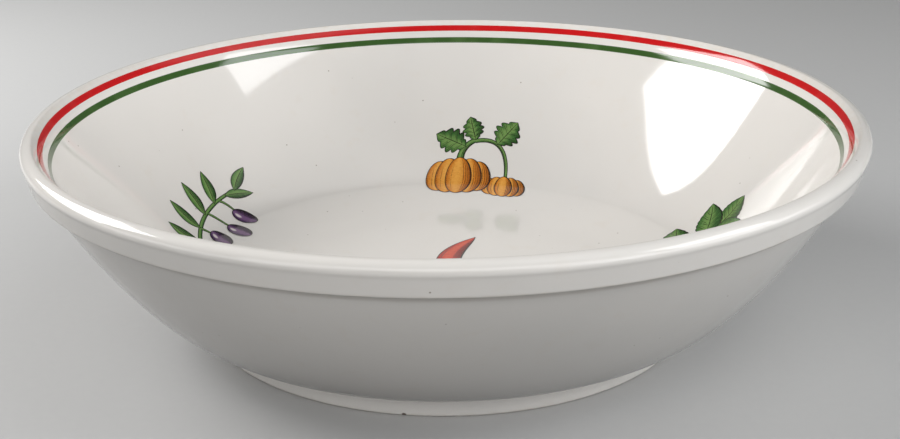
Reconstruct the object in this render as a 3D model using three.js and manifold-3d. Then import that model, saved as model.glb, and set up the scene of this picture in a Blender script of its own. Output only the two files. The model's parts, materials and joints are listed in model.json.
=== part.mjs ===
// A glazed earthenware pasta serving bowl. One fired clay body, wide and low, with a collar at
// the rim and a turned foot, carries two bands inside the lip and six printed food sprigs.
// Each colour of a print is a thin fired-on layer of its own that follows the wall.
// Units are millimetres, +Z is up, and the origin is the middle of the ring the bowl stands on.
import * as THREE from "three";
import { TessellateModifier } from "three/addons/modifiers/TessellateModifier.js";
import { mergeVertices } from "three/addons/utils/BufferGeometryUtils.js";
import Module from "manifold-3d";

const wasm = await Module();
wasm.setup();

// The clay body: overall size, rim and collar
const RIM_DIAMETER = 340; // over the widest part of the lip
const HEIGHT = 88.5; // standing ring to the top of the lip
const LIP_DROP = 3.7; // fall of the rounded lip from its top to its widest part
const LIP_TUCK = 25; // degrees the rounding goes on below that, before the collar's face
const LIP_EDGE = 1.4; // rounding of the lip's inner edge
const COLLAR_DIAMETER = 335.2; // over the collar's lower edge
const COLLAR_HEIGHT = 12.9; // collar's underside to the top of the lip
const COLLAR_STEP = 3.6; // how far the collar stands out from the wall below it
const COLLAR_EDGE = 1.2; // rounding of the collar's lower edge and of the corner under it

// The wall and the floor
const WALL_AT_RIM = 6.2; // thickness of the clay, square to the wall
const WALL_AT_FOOT = 7.5;
const WALL_SLOPE = 65; // degrees above level, outside, just under the collar
const RIM_SLOPE = 63; // degrees above level, inside, from the wall up to the lip
const BASE_SLOPE = 15; // degrees above level, where the wall runs into the base
const SHOULDER_DIAMETER = 220; // outside, where the wall's curve ends and the base begins
const SHOULDER_HEIGHT = 11;
const WALL_PULL = 20; // how far the curve follows its slope at the collar
const BASE_PULL = 19.5; // and at the base
const FLOOR_THICKNESS = 8;

// The foot
const FOOT_DIAMETER = 203.6; // over its lower edge
const FOOT_FLARE = 1; // how much wider its radius is at the neck than at the lower edge
const FOOT_RING = 8.6; // width of the standing ring
const FOOT_EDGE = 1.2; // rounding of the ring's edges
const NECK_ROUND = 3; // rounding between the foot and the base, inside and outside
const RECESS_DEPTH = 5.5; // from the standing ring up to the underside

// The bands and the prints
const RED_BAND_DROP = 0.7; // down the wall from the lip's edge
const RED_BAND_WIDTH = 3.1;
const GREEN_BAND_DROP = 7.2;
const GREEN_BAND_WIDTH = 2.9;
const PRINT = 0.2; // thickness of a fired layer
const SEAT = 0.05; // clearance between a layer and the faceted wall
const PRINT_GAP = 0.4; // bare glaze between two colours of one print
const PRINT_WIDTH = 50; // of the squared sheet that a wall print is drawn on
const PRINT_DROP = 80; // down the wall from the lip's edge to the middle of a print
const PRINT_TURN = 7; // degrees clockwise from +Y to the first print, seen from above
const WALL_PRINTS = 5; // evenly spaced round the wall, with one more on the floor

const SIDES = 72; // flat sides of the turned shapes
const PRINT_FACET = 7; // longest edge in a print, so that it bends with the wall

const radians = THREE.MathUtils.degToRad;
const point = (r, z) => new THREE.Vector2(r, z);
const along = (degrees, length) =>
  point(Math.cos(radians(degrees)), Math.sin(radians(degrees))).multiplyScalar(length);
const rounded = (from, corner, to, steps) =>
  new THREE.QuadraticBezierCurve(from, corner, to).getPoints(steps);

const CREAM = 0xf1ece0;
const RED = 0xb4232a;
const GREEN = 0x4b6b33;
const ORANGE = 0xd07a2c;
const PURPLE = 0x4a2a4c;
const BROWN = 0x9a6a3c;
const STRAW = 0xd9c49a;

const pastaBowl = new THREE.Group();

function addPiece(name, geometry, color, roughness) {
  const material = new THREE.MeshStandardMaterial({ color, roughness, metalness: 0 });
  const piece = new THREE.Mesh(geometry, material);
  piece.name = name;
  pastaBowl.add(piece);
}

// Turns a profile of (radius, height) points about +Z.
function turned(profile) {
  return new THREE.LatheGeometry(profile, SIDES).rotateX(Math.PI / 2);
}

// Outside of the wall: one curve from the base's shoulder up to the collar
const rimRadius = RIM_DIAMETER / 2;
const collarFoot = HEIGHT - COLLAR_HEIGHT;
const shoulder = point(SHOULDER_DIAMETER / 2, SHOULDER_HEIGHT);
const collarRadius = COLLAR_DIAMETER / 2;
const wallTop = point(collarRadius - COLLAR_STEP, collarFoot);
const wallCurve = new THREE.CubicBezierCurve(
  shoulder,
  shoulder.clone().add(along(BASE_SLOPE, BASE_PULL)),
  wallTop.clone().sub(along(WALL_SLOPE, WALL_PULL)),
  wallTop,
);

// Inside of the wall: the same curve set in by the clay's thickness, which thins to the rim
const WALL_STEPS = 8;
const insideWall = [];
for (let step = 0; step <= WALL_STEPS; step++) {
  const share = step / WALL_STEPS;
  const thickness = THREE.MathUtils.lerp(WALL_AT_FOOT, WALL_AT_RIM, share);
  const way = wallCurve.getTangent(share);
  const inward = point(-way.y, way.x).multiplyScalar(thickness);
  insideWall.push(wallCurve.getPoint(share).add(inward));
}

// The floor is level, and curves up into the wall
const floorHeight = RECESS_DEPTH + FLOOR_THICKNESS;
const wallFoot = insideWall[0];
const floorBend = (wallFoot.y - floorHeight) / Math.sin(radians(BASE_SLOPE));
const floorCorner = wallFoot.clone().sub(along(BASE_SLOPE, floorBend));
const floorEdge = point(floorCorner.x - floorBend, floorHeight);

// The lip: a straight run up from the wall, a small rounding, then a fuller one out and under
const insideTop = insideWall[WALL_STEPS];
const lipRun = (HEIGHT - insideTop.y) / Math.sin(radians(RIM_SLOPE));
const lipCorner = insideTop.clone().add(along(RIM_SLOPE, lipRun));
const lipTop = point(lipCorner.x + LIP_EDGE, HEIGHT);
const lipInside = lipCorner.clone().sub(along(RIM_SLOPE, LIP_EDGE));
const lipCurve = new THREE.EllipseCurve(
  lipTop.x, HEIGHT - LIP_DROP, rimRadius - lipTop.x, LIP_DROP, -radians(LIP_TUCK), Math.PI / 2,
);

// The collar: its face leans out from the lower edge up to the lip
const collarCorner = point(collarRadius, collarFoot);
const collarFace = lipCurve.getPoint(0).sub(collarCorner).normalize();
const collarStart = 1 - COLLAR_EDGE / wallCurve.getLength();

// The foot: its outer face flares up to the neck, where it meets the base
const footRadius = FOOT_DIAMETER / 2;
const footInside = footRadius - FOOT_RING;
const neckRadius = footRadius + FOOT_FLARE;
const neckHeight = SHOULDER_HEIGHT - (shoulder.x - neckRadius) * Math.tan(radians(BASE_SLOPE));
const neck = point(neckRadius, neckHeight);
const footCorner = point(footRadius, 0);
const footFace = neck.clone().sub(footCorner).normalize();

// The whole section, from the middle of the underside round to the middle of the floor
const section = [
  point(0, RECESS_DEPTH),
  ...rounded(
    point(footInside - NECK_ROUND, RECESS_DEPTH),
    point(footInside, RECESS_DEPTH),
    point(footInside, RECESS_DEPTH - NECK_ROUND),
    3,
  ),
  ...rounded(
    point(footInside, FOOT_EDGE), point(footInside, 0), point(footInside + FOOT_EDGE, 0), 2,
  ),
  ...rounded(
    point(footRadius - FOOT_EDGE, 0),
    footCorner,
    footCorner.clone().addScaledVector(footFace, FOOT_EDGE),
    2,
  ),
  ...rounded(
    neck.clone().addScaledVector(footFace, -NECK_ROUND),
    neck,
    neck.clone().add(along(BASE_SLOPE, NECK_ROUND)),
    3,
  ),
];
for (let step = 0; step < WALL_STEPS; step++) {
  section.push(wallCurve.getPointAt((collarStart * step) / WALL_STEPS));
}
section.push(
  ...rounded(
    wallCurve.getPointAt(collarStart),
    wallTop,
    point(wallTop.x + COLLAR_EDGE, collarFoot),
    2,
  ),
  ...rounded(
    point(collarRadius - COLLAR_EDGE, collarFoot),
    collarCorner,
    collarCorner.clone().addScaledVector(collarFace, COLLAR_EDGE),
    2,
  ),
  ...lipCurve.getPoints(6),
  ...rounded(lipTop, lipCorner, lipInside, 3).slice(1),
);

// The inside face from the lip's edge down to the middle of the floor, for the section and prints
const inside = [
  lipInside,
  ...insideWall.toReversed(),
  ...rounded(wallFoot, floorCorner, floorEdge, 4).slice(1),
  point(0, floorHeight),
];
addPiece("bowl_body", turned([...section, ...inside.slice(1)]), CREAM, 0.12);

// The spot on the inside face at a distance down from the lip's edge, and the way out of the clay
function insideAt(drop) {
  let left = drop;
  let index = 0;
  while (index < inside.length - 2 && left > inside[index].distanceTo(inside[index + 1])) {
    left -= inside[index].distanceTo(inside[index + 1]);
    index++;
  }
  const way = inside[index + 1].clone().sub(inside[index]).normalize();
  const spot = inside[index].clone().addScaledVector(way, left);
  return { spot, out: point(way.y, -way.x) };
}

// A band: a thin ring that follows the inside face between two distances down from the lip
function band(drop, width) {
  const lift = (at, height) => at.spot.clone().addScaledVector(at.out, height);
  const upper = insideAt(drop);
  const lower = insideAt(drop + width);
  const back = [lift(upper, SEAT), lift(lower, SEAT)];
  const face = [lift(lower, SEAT + PRINT), lift(upper, SEAT + PRINT)];
  return turned([...back, ...face, back[0]].toReversed());
}
addPiece("red_rim_band", band(RED_BAND_DROP, RED_BAND_WIDTH), RED, 0.25);
addPiece("green_rim_band", band(GREEN_BAND_DROP, GREEN_BAND_WIDTH), GREEN, 0.25);

// Outlines of the prints, drawn flat and counted in squares of the sheet: x runs to the right and
// y up the wall, towards the rim. A shape grows up from its root at (x, y) and is turned
// anticlockwise about it by degrees.
const square = PRINT_WIDTH / 50; // the sheet is fifty squares wide

function placed(points, x, y, degrees) {
  const spot = point(x, y);
  return points.map((p) => p.clone().rotateAround(point(0, 0), radians(degrees)).add(spot));
}

function oval(x, y, width, height, degrees = 0) {
  const edge = new THREE.EllipseCurve(0, 0, width / 2, height / 2, 0, 2 * Math.PI);
  return placed(edge.getPoints(18).slice(1), x, y, degrees);
}

function leaf(x, y, degrees, length, width) {
  const root = point(0, 0);
  const tip = point(0, length);
  const right = rounded(root, point(width, 0.42 * length), tip, 6);
  const left = rounded(tip, point(-width, 0.42 * length), root, 6);
  return placed([...right.slice(1), ...left.slice(1)], x, y, degrees);
}

// A stem along a curve, tapering to its far end
const twig = (...ends) =>
  new THREE.QuadraticBezierCurve(...ends.map(([x, y]) => point(x, y)));

function stem(curve, thickness) {
  const STEPS = 8;
  const right = [];
  const left = [];
  for (let step = 0; step <= STEPS; step++) {
    const share = step / STEPS;
    const way = curve.getTangent(share);
    const half = (thickness * (1 - 0.35 * share)) / 2;
    const aside = point(way.y, -way.x).multiplyScalar(half);
    right.push(curve.getPoint(share).add(aside));
    left.unshift(curve.getPoint(share).sub(aside));
  }
  return [...right, ...left];
}

// Leaves along a curve, each given as [share of the way along, degrees, length, width]
const leavesOn = (curve, leaves) =>
  leaves.map(([share, ...form]) => {
    const root = curve.getPoint(share);
    return leaf(root.x, root.y, ...form);
  });

// A pepper: broad and round at its root, then a bent horn that runs to a point
function pepper(x, y, degrees, length, width, bend) {
  const half = width / 2;
  const tip = point(bend, length);
  const right = new THREE.CubicBezierCurve(
    point(half, 0), point(half, 0.5 * length), point(0.5 * bend + half, 0.75 * length), tip,
  );
  const left = new THREE.CubicBezierCurve(
    tip, point(0.3 * bend, 0.8 * length), point(-half, 0.55 * length), point(-half, 0),
  );
  const shoulderEnd = rounded(point(-half, 0), point(0, -0.3 * width), point(half, 0), 4);
  const edge = [...right.getPoints(7).slice(1), ...left.getPoints(7).slice(1), ...shoulderEnd.slice(1)];
  return placed(edge, x, y, degrees);
}

// A mushroom's cap: a dome over a slightly hollow underside
function cap(x, y, degrees, width, height) {
  const half = width / 2;
  const dome = new THREE.CubicBezierCurve(
    point(half, 0), point(half, 1.25 * height), point(-half, 1.25 * height), point(-half, 0),
  );
  const under = rounded(point(-half, 0), point(0, -0.35 * height), point(half, 0), 6);
  return placed([...dome.getPoints(12).slice(1), ...under.slice(1)], x, y, degrees);
}

// A squash: ribs side by side, the outer ones shorter
const squash = (x, y, width, height) =>
  [-0.3, -0.16, 0, 0.16, 0.3].map((part) =>
    oval(x + part * width, y, 0.4 * width, height * (1 - 2 * part * part)),
  );

// A flat slab with an outline at its real size, grown outwards for a cut
function slab(outline, grow, low, high) {
  const count = outline.length;
  const edge = outline.map((at, index) => {
    const before = outline[(index + count - 1) % count];
    const after = outline[(index + 1) % count];
    const way = after.clone().sub(before).normalize();
    const outward = point(way.y, -way.x).multiplyScalar(grow);
    return at.clone().multiplyScalar(square).add(outward);
  });
  const flat = new THREE.ExtrudeGeometry(new THREE.Shape(edge), {
    depth: high - low,
    bevelEnabled: false,
  }).translate(0, 0, low);
  flat.deleteAttribute("normal");
  flat.deleteAttribute("uv");
  const joined = mergeVertices(flat, 1e-4);
  return new wasm.Manifold(
    new wasm.Mesh({
      numProp: 3,
      vertProperties: joined.attributes.position.array,
      triVerts: new Uint32Array(joined.index.array),
    }),
  );
}

// A flat layer of print: its outlines joined, less a gap round the outlines printed over them
function layer(outlines, over = []) {
  const joined = outlines.map((o) => slab(o, 0, 0, PRINT)).reduce((a, b) => a.add(b));
  const cut = over.reduce((left, o) => left.subtract(slab(o, PRINT_GAP, -PRINT, 2 * PRINT)), joined);
  const mesh = cut.getMesh();
  const flat = new THREE.BufferGeometry();
  flat.setAttribute("position", new THREE.BufferAttribute(mesh.vertProperties, 3));
  flat.setIndex(new THREE.BufferAttribute(mesh.triVerts, 1));
  return mergeVertices(new TessellateModifier(PRINT_FACET, 12).modify(flat), 1e-4);
}

// Bends a flat layer on to the wall, at its own place in the ring of prints. The wall's sides are
// flat, so the radius there is a little less than the circle's.
function onWall(flat, place) {
  const middle = radians(90 - PRINT_TURN + (360 * place) / WALL_PRINTS);
  const side = (2 * Math.PI) / SIDES;
  const spots = flat.getAttribute("position");
  for (let index = 0; index < spots.count; index++) {
    const at = insideAt(PRINT_DROP - spots.getY(index));
    const angle = middle - spots.getX(index) / at.spot.x;
    const lift = SEAT + spots.getZ(index);
    const offMiddle = THREE.MathUtils.euclideanModulo(angle + Math.PI / 2, side) - side / 2;
    const inset = Math.cos(side / 2) / Math.cos(offMiddle);
    const radius = (at.spot.x + lift * at.out.x) * inset;
    const height = at.spot.y + lift * at.out.y;
    spots.setXYZ(index, radius * Math.cos(angle), radius * Math.sin(angle), height);
  }
  return flat;
}

const onFloor = (flat) => flat.translate(0, 0, floorHeight + SEAT);

// First print: two squashes on a vine
const largeSquash = squash(-8, -5, 32, 25);
const smallSquash = squash(15, -11, 22, 16);
const stalk = twig([-8, 4], [-9, 14], [0, 18]);
const runner = twig([-1, 17], [17, 21], [15.5, -5]);
const vine = [
  stem(stalk, 3.6),
  stem(runner, 2.4),
  ...leavesOn(stalk, [[0.6, 66, 17, 14], [0.95, 16, 13, 11]]),
  ...leavesOn(runner, [[0.4, -38, 16, 14]]),
];
const squashes = [...largeSquash, ...smallSquash];
addPiece("large_squash_print", onWall(layer(largeSquash), 0), ORANGE, 0.3);
addPiece("small_squash_print", onWall(layer(smallSquash, largeSquash), 0), ORANGE, 0.3);
addPiece("squash_vine_print", onWall(layer(vine, squashes), 0), GREEN, 0.3);

// Second print: an olive branch with three olives
const olives = [oval(-11, -10, 9, 12, -12), oval(2, -12, 9, 12, 4), oval(14, -6, 9, 12, 18)];
const bough = twig([-26, -7], [-6, 8], [25, 9]);
const branch = [
  stem(bough, 2.2),
  stem(twig([-14, 0], [-12, -2], [-11, -6]), 1.4),
  stem(twig([-2, 4], [1, 0], [2, -8]), 1.4),
  stem(twig([10, 7], [13, 5], [13.5, -2]), 1.4),
  ...leavesOn(bough, [
    [0.08, 24, 18, 6],
    [0.06, -142, 15, 5.5],
    [0.28, 12, 19, 6],
    [0.48, -4, 19, 6],
    [0.68, -20, 18, 6],
    [0.84, -104, 16, 5.5],
    [0.96, -56, 17, 5.5],
  ]),
];
olives.forEach((olive, index) =>
  addPiece(`olive_print_${index + 1}`, onWall(layer([olive]), 1), PURPLE, 0.3),
);
addPiece("olive_branch_print", onWall(layer(branch, olives), 1), GREEN, 0.3);

// Third print: two radishes joined by their leaves
const radishes = [
  [oval(-9, -10, 15, 16, -16), leaf(-10, -15, 160, 13, 6)],
  [oval(9, -9, 14, 15, 18), leaf(10, -14, 198, 13, 6)],
];
const leftStalk = twig([-8, -5], [-5, 2], [1, 9]);
const rightStalk = twig([8, -5], [5, 2], [-1, 9]);
const radishTops = [
  stem(leftStalk, 2.6),
  stem(rightStalk, 2.6),
  ...leavesOn(leftStalk, [[0.9, -34, 18, 10], [0.7, 52, 17, 9]]),
  ...leavesOn(rightStalk, [[0.9, 14, 20, 10]]),
];
radishes.forEach((radish, index) =>
  addPiece(`radish_print_${index + 1}`, onWall(layer(radish), 2), RED, 0.3),
);
addPiece("radish_leaves_print", onWall(layer(radishTops, radishes.flat()), 2), GREEN, 0.3);

// Fourth print: two mushrooms
const caps = [cap(-7, 3, 8, 32, 15), cap(13, -8, -12, 22, 10)];
const stems = [
  stem(twig([-9, -22], [-11, -8], [-7, 6]), 9),
  stem(twig([12, -23], [14, -16], [13, -5]), 7),
];
caps.forEach((one, index) => {
  const top = layer([one], caps.slice(index + 1));
  addPiece(`mushroom_cap_print_${index + 1}`, onWall(top, 3), BROWN, 0.3);
  addPiece(`mushroom_stem_print_${index + 1}`, onWall(layer([stems[index]], caps), 3), STRAW, 0.3);
});

// Fifth print: a sprig of basil
const stalkOfBasil = twig([-4, -25], [2, -8], [0, 10]);
const basil = [
  stem(stalkOfBasil, 2.2),
  ...leavesOn(stalkOfBasil, [
    [0.3, 64, 20, 13],
    [0.36, -62, 21, 13],
    [0.66, 46, 22, 14],
    [0.72, -44, 22, 14],
    [0.9, 2, 18, 13],
  ]),
];
addPiece("basil_print", onWall(layer(basil), 4), GREEN, 0.3);

// Print on the floor: three peppers that swirl out from where their stalks meet
const PEPPERS = 3;
const stalks = [];
const peppers = [];
for (let index = 0; index < PEPPERS; index++) {
  const turn = (360 * index) / PEPPERS;
  const root = along(turn + 90, 11);
  const mid = along(turn + 110, 6);
  stalks.push(stem(twig([0, 0], [mid.x, mid.y], [root.x, root.y]), 2.6));
  stalks.push(oval(root.x, root.y, 13, 6, turn));
  peppers.push(pepper(root.x, root.y, turn, 36, 11, 13));
}
peppers.forEach((one, index) =>
  addPiece(`chilli_print_${index + 1}`, onFloor(layer([one], stalks)), RED, 0.3),
);
addPiece("chilli_stalk_print", onFloor(layer(stalks)), GREEN, 0.3);

export default pastaBowl;
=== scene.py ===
# %% [markdown]
# # A pasta serving bowl
# One wide, low bowl of glazed earthenware, about 340 mm across. Inside the lip it has a red and a
# green band, and on its wall and floor it has printed sprigs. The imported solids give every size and
# place. This script gives the bowl its looks: a smooth turned body, a glaze, fired colours and ink.

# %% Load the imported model
import json
import math
import random

import bpy
import numpy as np
from mathutils import Matrix, Vector

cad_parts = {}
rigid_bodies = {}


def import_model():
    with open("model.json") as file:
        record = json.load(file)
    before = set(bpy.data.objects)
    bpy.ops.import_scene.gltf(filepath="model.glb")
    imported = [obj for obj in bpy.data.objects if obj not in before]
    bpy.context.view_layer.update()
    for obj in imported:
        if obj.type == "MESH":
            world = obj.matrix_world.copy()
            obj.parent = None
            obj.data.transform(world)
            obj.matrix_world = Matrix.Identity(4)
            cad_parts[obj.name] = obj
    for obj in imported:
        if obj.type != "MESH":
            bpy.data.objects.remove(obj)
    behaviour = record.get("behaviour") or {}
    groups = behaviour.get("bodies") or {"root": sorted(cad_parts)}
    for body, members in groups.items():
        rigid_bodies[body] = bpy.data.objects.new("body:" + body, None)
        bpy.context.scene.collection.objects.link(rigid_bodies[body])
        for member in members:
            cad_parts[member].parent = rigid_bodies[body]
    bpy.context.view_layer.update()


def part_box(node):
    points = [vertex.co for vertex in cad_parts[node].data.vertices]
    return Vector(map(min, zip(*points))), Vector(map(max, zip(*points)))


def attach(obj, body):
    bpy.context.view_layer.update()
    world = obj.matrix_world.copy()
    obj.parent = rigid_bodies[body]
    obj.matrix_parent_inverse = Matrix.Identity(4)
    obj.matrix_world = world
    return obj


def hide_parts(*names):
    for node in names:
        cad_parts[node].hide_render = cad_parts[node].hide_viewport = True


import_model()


# %% [markdown]
# ## The camera
# A camera is described by where it stands, what it looks at and how long its lens is. The rim of a
# turned bowl is a circle, so the two ellipses that it and the foot make in the picture fix all
# three. The picture is also turned by a third of a degree, as when a tripod isn't quite level.

# %% Camera
scene = bpy.context.scene
scene.view_settings.view_transform = "Standard"

LOOK_AT = Vector((0.0015, 0.0, 0.0398))
ELEVATION = math.radians(20.4)
DISTANCE = 0.622
FOCAL_LENGTH = 58.73
TRIPOD_TILT = -0.0065
lens = bpy.data.cameras.new("camera")
lens.sensor_width = 36.0
lens.lens = FOCAL_LENGTH
lens.clip_start = 0.01
camera = bpy.data.objects.new("camera", lens)
scene.collection.objects.link(camera)
toward = Vector((0.0, -math.cos(ELEVATION), math.sin(ELEVATION)))
camera.location = LOOK_AT + DISTANCE * toward
upright = Matrix.Rotation(math.pi / 2 - ELEVATION, 4, "X")
tilt = Matrix.Rotation(TRIPOD_TILT, 4, "Z")
camera.rotation_euler = (upright @ tilt).to_euler()
scene.camera = camera
print("camera at", [round(v, 4) for v in camera.location])

# %% [markdown]
# ## The section of the clay
# A plate maker shapes a bowl with a profile: half of its outline, turned about the middle. The
# profile here is drawn in millimetres from the middle of the underside, round the foot, up the
# wall, over the collar and the lip, and down the inside to the middle of the floor. Bézier curves
# suit it, because a potter's rib leaves long curves with small roundings between them. Below the
# lip the wall rolls gently outwards, as a wet rim does under a thumb. The solids have a straight run
# there, less than a millimetre away, but a mirror-like glaze shows such a roll plainly.

# %% Curves
def along(degrees, length):
    """A step of some length in a direction."""
    angle = math.radians(degrees)
    return np.array([math.cos(angle), math.sin(angle)]) * length


def curve(ends, steps):
    """Points of a Bézier curve: neighbours are blended pair by pair until one point is left."""
    share = np.linspace(0, 1, steps + 1)[:, None]
    rows = [np.array(end, float) + 0 * share for end in ends]
    while len(rows) > 1:
        rows = [(1 - share) * a + share * b for a, b in zip(rows, rows[1:])]
    return rows[0]


def straight(start, end, steps):
    """Points of a straight line."""
    return curve([start, end], steps)


def lengths(points):
    """How far along a line each of its points is."""
    return np.concatenate([[0], np.cumsum(np.linalg.norm(np.diff(points, axis=0), axis=1))])


# %% Wall, inside and outside
low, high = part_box("bowl_body")
HEIGHT = 1000 * (high.z - low.z)
RIM = 170.0
COLLAR_HEIGHT = 12.9
COLLAR_LEDGE = 3.6
COLLAR = np.array([167.6, HEIGHT - COLLAR_HEIGHT])
SHOULDER_SLOPE, WALL_SLOPE = 15, 65
THICK_BELOW, THICK_ABOVE = 7.5, 6.2
WALL_STEPS = 44
wall_top = COLLAR - [COLLAR_LEDGE, 0]
shoulder = np.array([110.0, 11.0])
wall_ends = [
    shoulder,
    shoulder + along(SHOULDER_SLOPE, 19.5),
    wall_top - along(WALL_SLOPE, 20),
    wall_top,
]
outside_wall = curve(wall_ends, WALL_STEPS)
way = curve(np.diff(wall_ends, axis=0), WALL_STEPS)
way /= np.linalg.norm(way, axis=1, keepdims=True)
inward = np.stack([-way[:, 1], way[:, 0]], axis=1)
thickness = np.linspace(THICK_BELOW, THICK_ABOVE, WALL_STEPS + 1)[:, None]
inside_wall = outside_wall + inward * thickness
print("wall: %.1f mm high, mouth %.1f mm across" % (HEIGHT, 2 * inside_wall[-1, 0]))

# %% Lip, floor and foot
FLOOR = 13.5
UNDERSIDE = 5.5
RUN_SLOPE, LIP_SLOPE = 64, 50
LIP_FLAT, LIP_DEPTH = 0.55, 3.7
bend = (inside_wall[0, 1] - FLOOR) / math.sin(math.radians(SHOULDER_SLOPE))
floor_corner = inside_wall[0] - along(SHOULDER_SLOPE, bend)
floor_edge = floor_corner - [bend, 0]
roll_start = inside_wall[-1] + along(RUN_SLOPE, 3.6)
knee = roll_start + along(RUN_SLOPE, 2.6)
lip_inside = knee + along(LIP_SLOPE, 2.8)
left_to_climb = (HEIGHT - lip_inside[1]) / math.sin(math.radians(LIP_SLOPE))
lip_corner = lip_inside + along(LIP_SLOPE, left_to_climb)
lip_top = lip_corner + [LIP_FLAT, 0]
turn = np.radians(np.linspace(-25, 90, 19))[:, None]
lip_size = np.array([RIM - lip_top[0], LIP_DEPTH])
lip_round = lip_top - [0, LIP_DEPTH] + np.hstack([np.cos(turn), np.sin(turn)]) * lip_size
collar_way = (lip_round[0] - COLLAR) / np.linalg.norm(lip_round[0] - COLLAR)
FOOT, FOOT_INSIDE, NECK = 101.8, 93.2, 102.8
foot = np.array([FOOT, 0.0])
foot_in = np.array([FOOT_INSIDE, 0.0])
neck_drop = (shoulder[0] - NECK) * math.tan(math.radians(SHOULDER_SLOPE))
neck = np.array([NECK, shoulder[1] - neck_drop])
foot_way = (neck - foot) / np.linalg.norm(neck - foot)

# %% Whole profile, part by part
EDGE = 1.2
RECESS_ROUND = 3
recess_edge = [FOOT_INSIDE - RECESS_ROUND, UNDERSIDE]
recess_corner = [FOOT_INSIDE, UNDERSIDE]
recess_side = [FOOT_INSIDE, UNDERSIDE - RECESS_ROUND]
wall_lengths = lengths(outside_wall)
bare_wall = outside_wall[wall_lengths < wall_lengths[-1] - EDGE]
parts = {
    "underside": straight([0, UNDERSIDE], recess_edge, 9),
    "recess_round": curve([recess_edge, recess_corner, recess_side], 6)[1:],
    "foot_inner_edge": curve([foot_in + [0, EDGE], foot_in, foot_in + [EDGE, 0]], 5),
    "standing_ring": straight(foot_in + [2, 0], foot - [2, 0], 4),
    "foot_outer_edge": curve([foot - [EDGE, 0], foot, foot + EDGE * foot_way], 6),
    "foot_face": straight(foot + 1.8 * foot_way, neck - 3.4 * foot_way, 4),
    "neck_round": curve([neck - 3 * foot_way, neck, neck + along(SHOULDER_SLOPE, 3)], 8),
    "outside_wall": bare_wall,
    "crease": curve([bare_wall[-1] + [0.02, 0.04], wall_top, wall_top + [EDGE, 0]], 7)[1:],
    "collar_edge": curve([COLLAR - [EDGE, 0], COLLAR, COLLAR + EDGE * collar_way], 7),
    "collar_face": straight(COLLAR + 1.8 * collar_way, lip_round[0] - 0.8 * collar_way, 6),
    "lip": lip_round,
    "lip_edge": curve([lip_top, lip_corner, lip_inside], 7)[1:],
    "lip_roll": curve([lip_inside, knee, roll_start], 6)[1:],
    "inside_run": straight(roll_start, inside_wall[-1], 4)[1:-1],
    "inside_wall": inside_wall[::-1],
    "floor_bend": curve([inside_wall[0], floor_corner, floor_edge], 16)[1:],
    "floor": straight(floor_edge, [0, FLOOR], 8)[1:],
}
profile = np.vstack(list(parts.values()))
girth = lengths(profile)
starts = np.cumsum([0] + [len(points) for points in parts.values()])
reach = {name: (girth[a], girth[b - 1]) for name, a, b in zip(parts, starts, starts[1:])}
print("profile:", len(profile), "points,", round(girth[-1]), "mm round")

# %% [markdown]
# ## From profile to bowl
# Blender's Screw modifier can turn a profile, but then the mesh has no names for its places. Turning
# it in code costs a few lines more and gives each point two coordinates that the glaze can read:
# how far round the bowl it is and how far along the profile. No bowl leaves the kiln quite round
# and level, so every piece passes through one small warp: the rim is a quarter of a millimetre out
# of round, and leans by a third of a degree to the foot, higher on the right.

# %% Mesh helpers
MM = 0.001
OVAL, THREE_SIDED, WAVY, LEAN = 0.0012, 0.0004, 0.0018, 0.006


def settled(points):
    """Warps points in millimetres as drying and firing do, and gives metres."""
    x, y, z = points.T
    angle = np.arctan2(y, x)
    up = z / HEIGHT
    swell = 1 + up * (OVAL * np.cos(2 * angle - 0.9) + THREE_SIDED * np.cos(3 * angle + 0.4))
    sag = 1 + WAVY * up**3 * np.sin(3 * angle + 1.1)
    lean = LEAN * x * up
    return MM * np.stack([x * swell, y * swell, np.minimum(z * sag, HEIGHT) + lean], axis=1)


def make_piece(name, points, faces, corners, map_name):
    """A smooth mesh piece with one map, whose corners are listed face by face."""
    mesh = bpy.data.meshes.new(name)
    mesh.from_pydata(settled(np.asarray(points, float)).tolist(), [], faces)
    layer = mesh.uv_layers.new(name=map_name)
    layer.data.foreach_set("uv", np.asarray(corners, np.float32).ravel())
    mesh.shade_smooth()
    piece = bpy.data.objects.new(name, mesh)
    scene.collection.objects.link(piece)
    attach(piece, "root")
    return piece


def strip(rows, columns, start=0, closed=False):
    """Faces of a grid of points, row by row. A closed grid joins its last column to its first."""
    faces = []
    for row in range(rows - 1):
        for column in range(columns if closed else columns - 1):
            after = (column + 1) % columns
            here, above = start + row * columns, start + (row + 1) * columns
            faces.append((here + column, here + after, above + after, above + column))
    return faces


# %% Body
SIDES = 192
angles = np.linspace(0, 2 * np.pi, SIDES, endpoint=False)
ring = profile[1:-1]
points = np.stack(
    [
        np.outer(ring[:, 0], np.cos(angles)),
        np.outer(ring[:, 0], np.sin(angles)),
        np.outer(ring[:, 1], np.ones(SIDES)),
    ],
    axis=2,
).reshape(-1, 3)
faces = strip(len(ring), SIDES, closed=True)
under, over = len(points), len(points) + 1
points = np.vstack([points, [0, 0, UNDERSIDE], [0, 0, FLOOR]])
last = (len(ring) - 1) * SIDES
faces += [(under, (side + 1) % SIDES, side) for side in range(SIDES)]
faces += [(over, last + side, last + (side + 1) % SIDES) for side in range(SIDES)]

corners = []
for face in faces:
    sides = [index % SIDES for index in face if index < under]
    wraps = max(sides) - min(sides) > 1
    for index in face:
        if index >= under:
            middle = sum(sides) / 2 + (SIDES / 2 if wraps else 0)
            corners.append((middle / SIDES, index - under))
            continue
        side = index % SIDES
        side = SIDES if wraps and side == 0 else side
        corners.append((side / SIDES, girth[1 + index // SIDES] / girth[-1]))
body = make_piece("bowl_body_turned", points, faces, corners, "OFBake")
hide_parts("bowl_body")
print("body:", len(points), "points,", len(faces), "faces")

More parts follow.
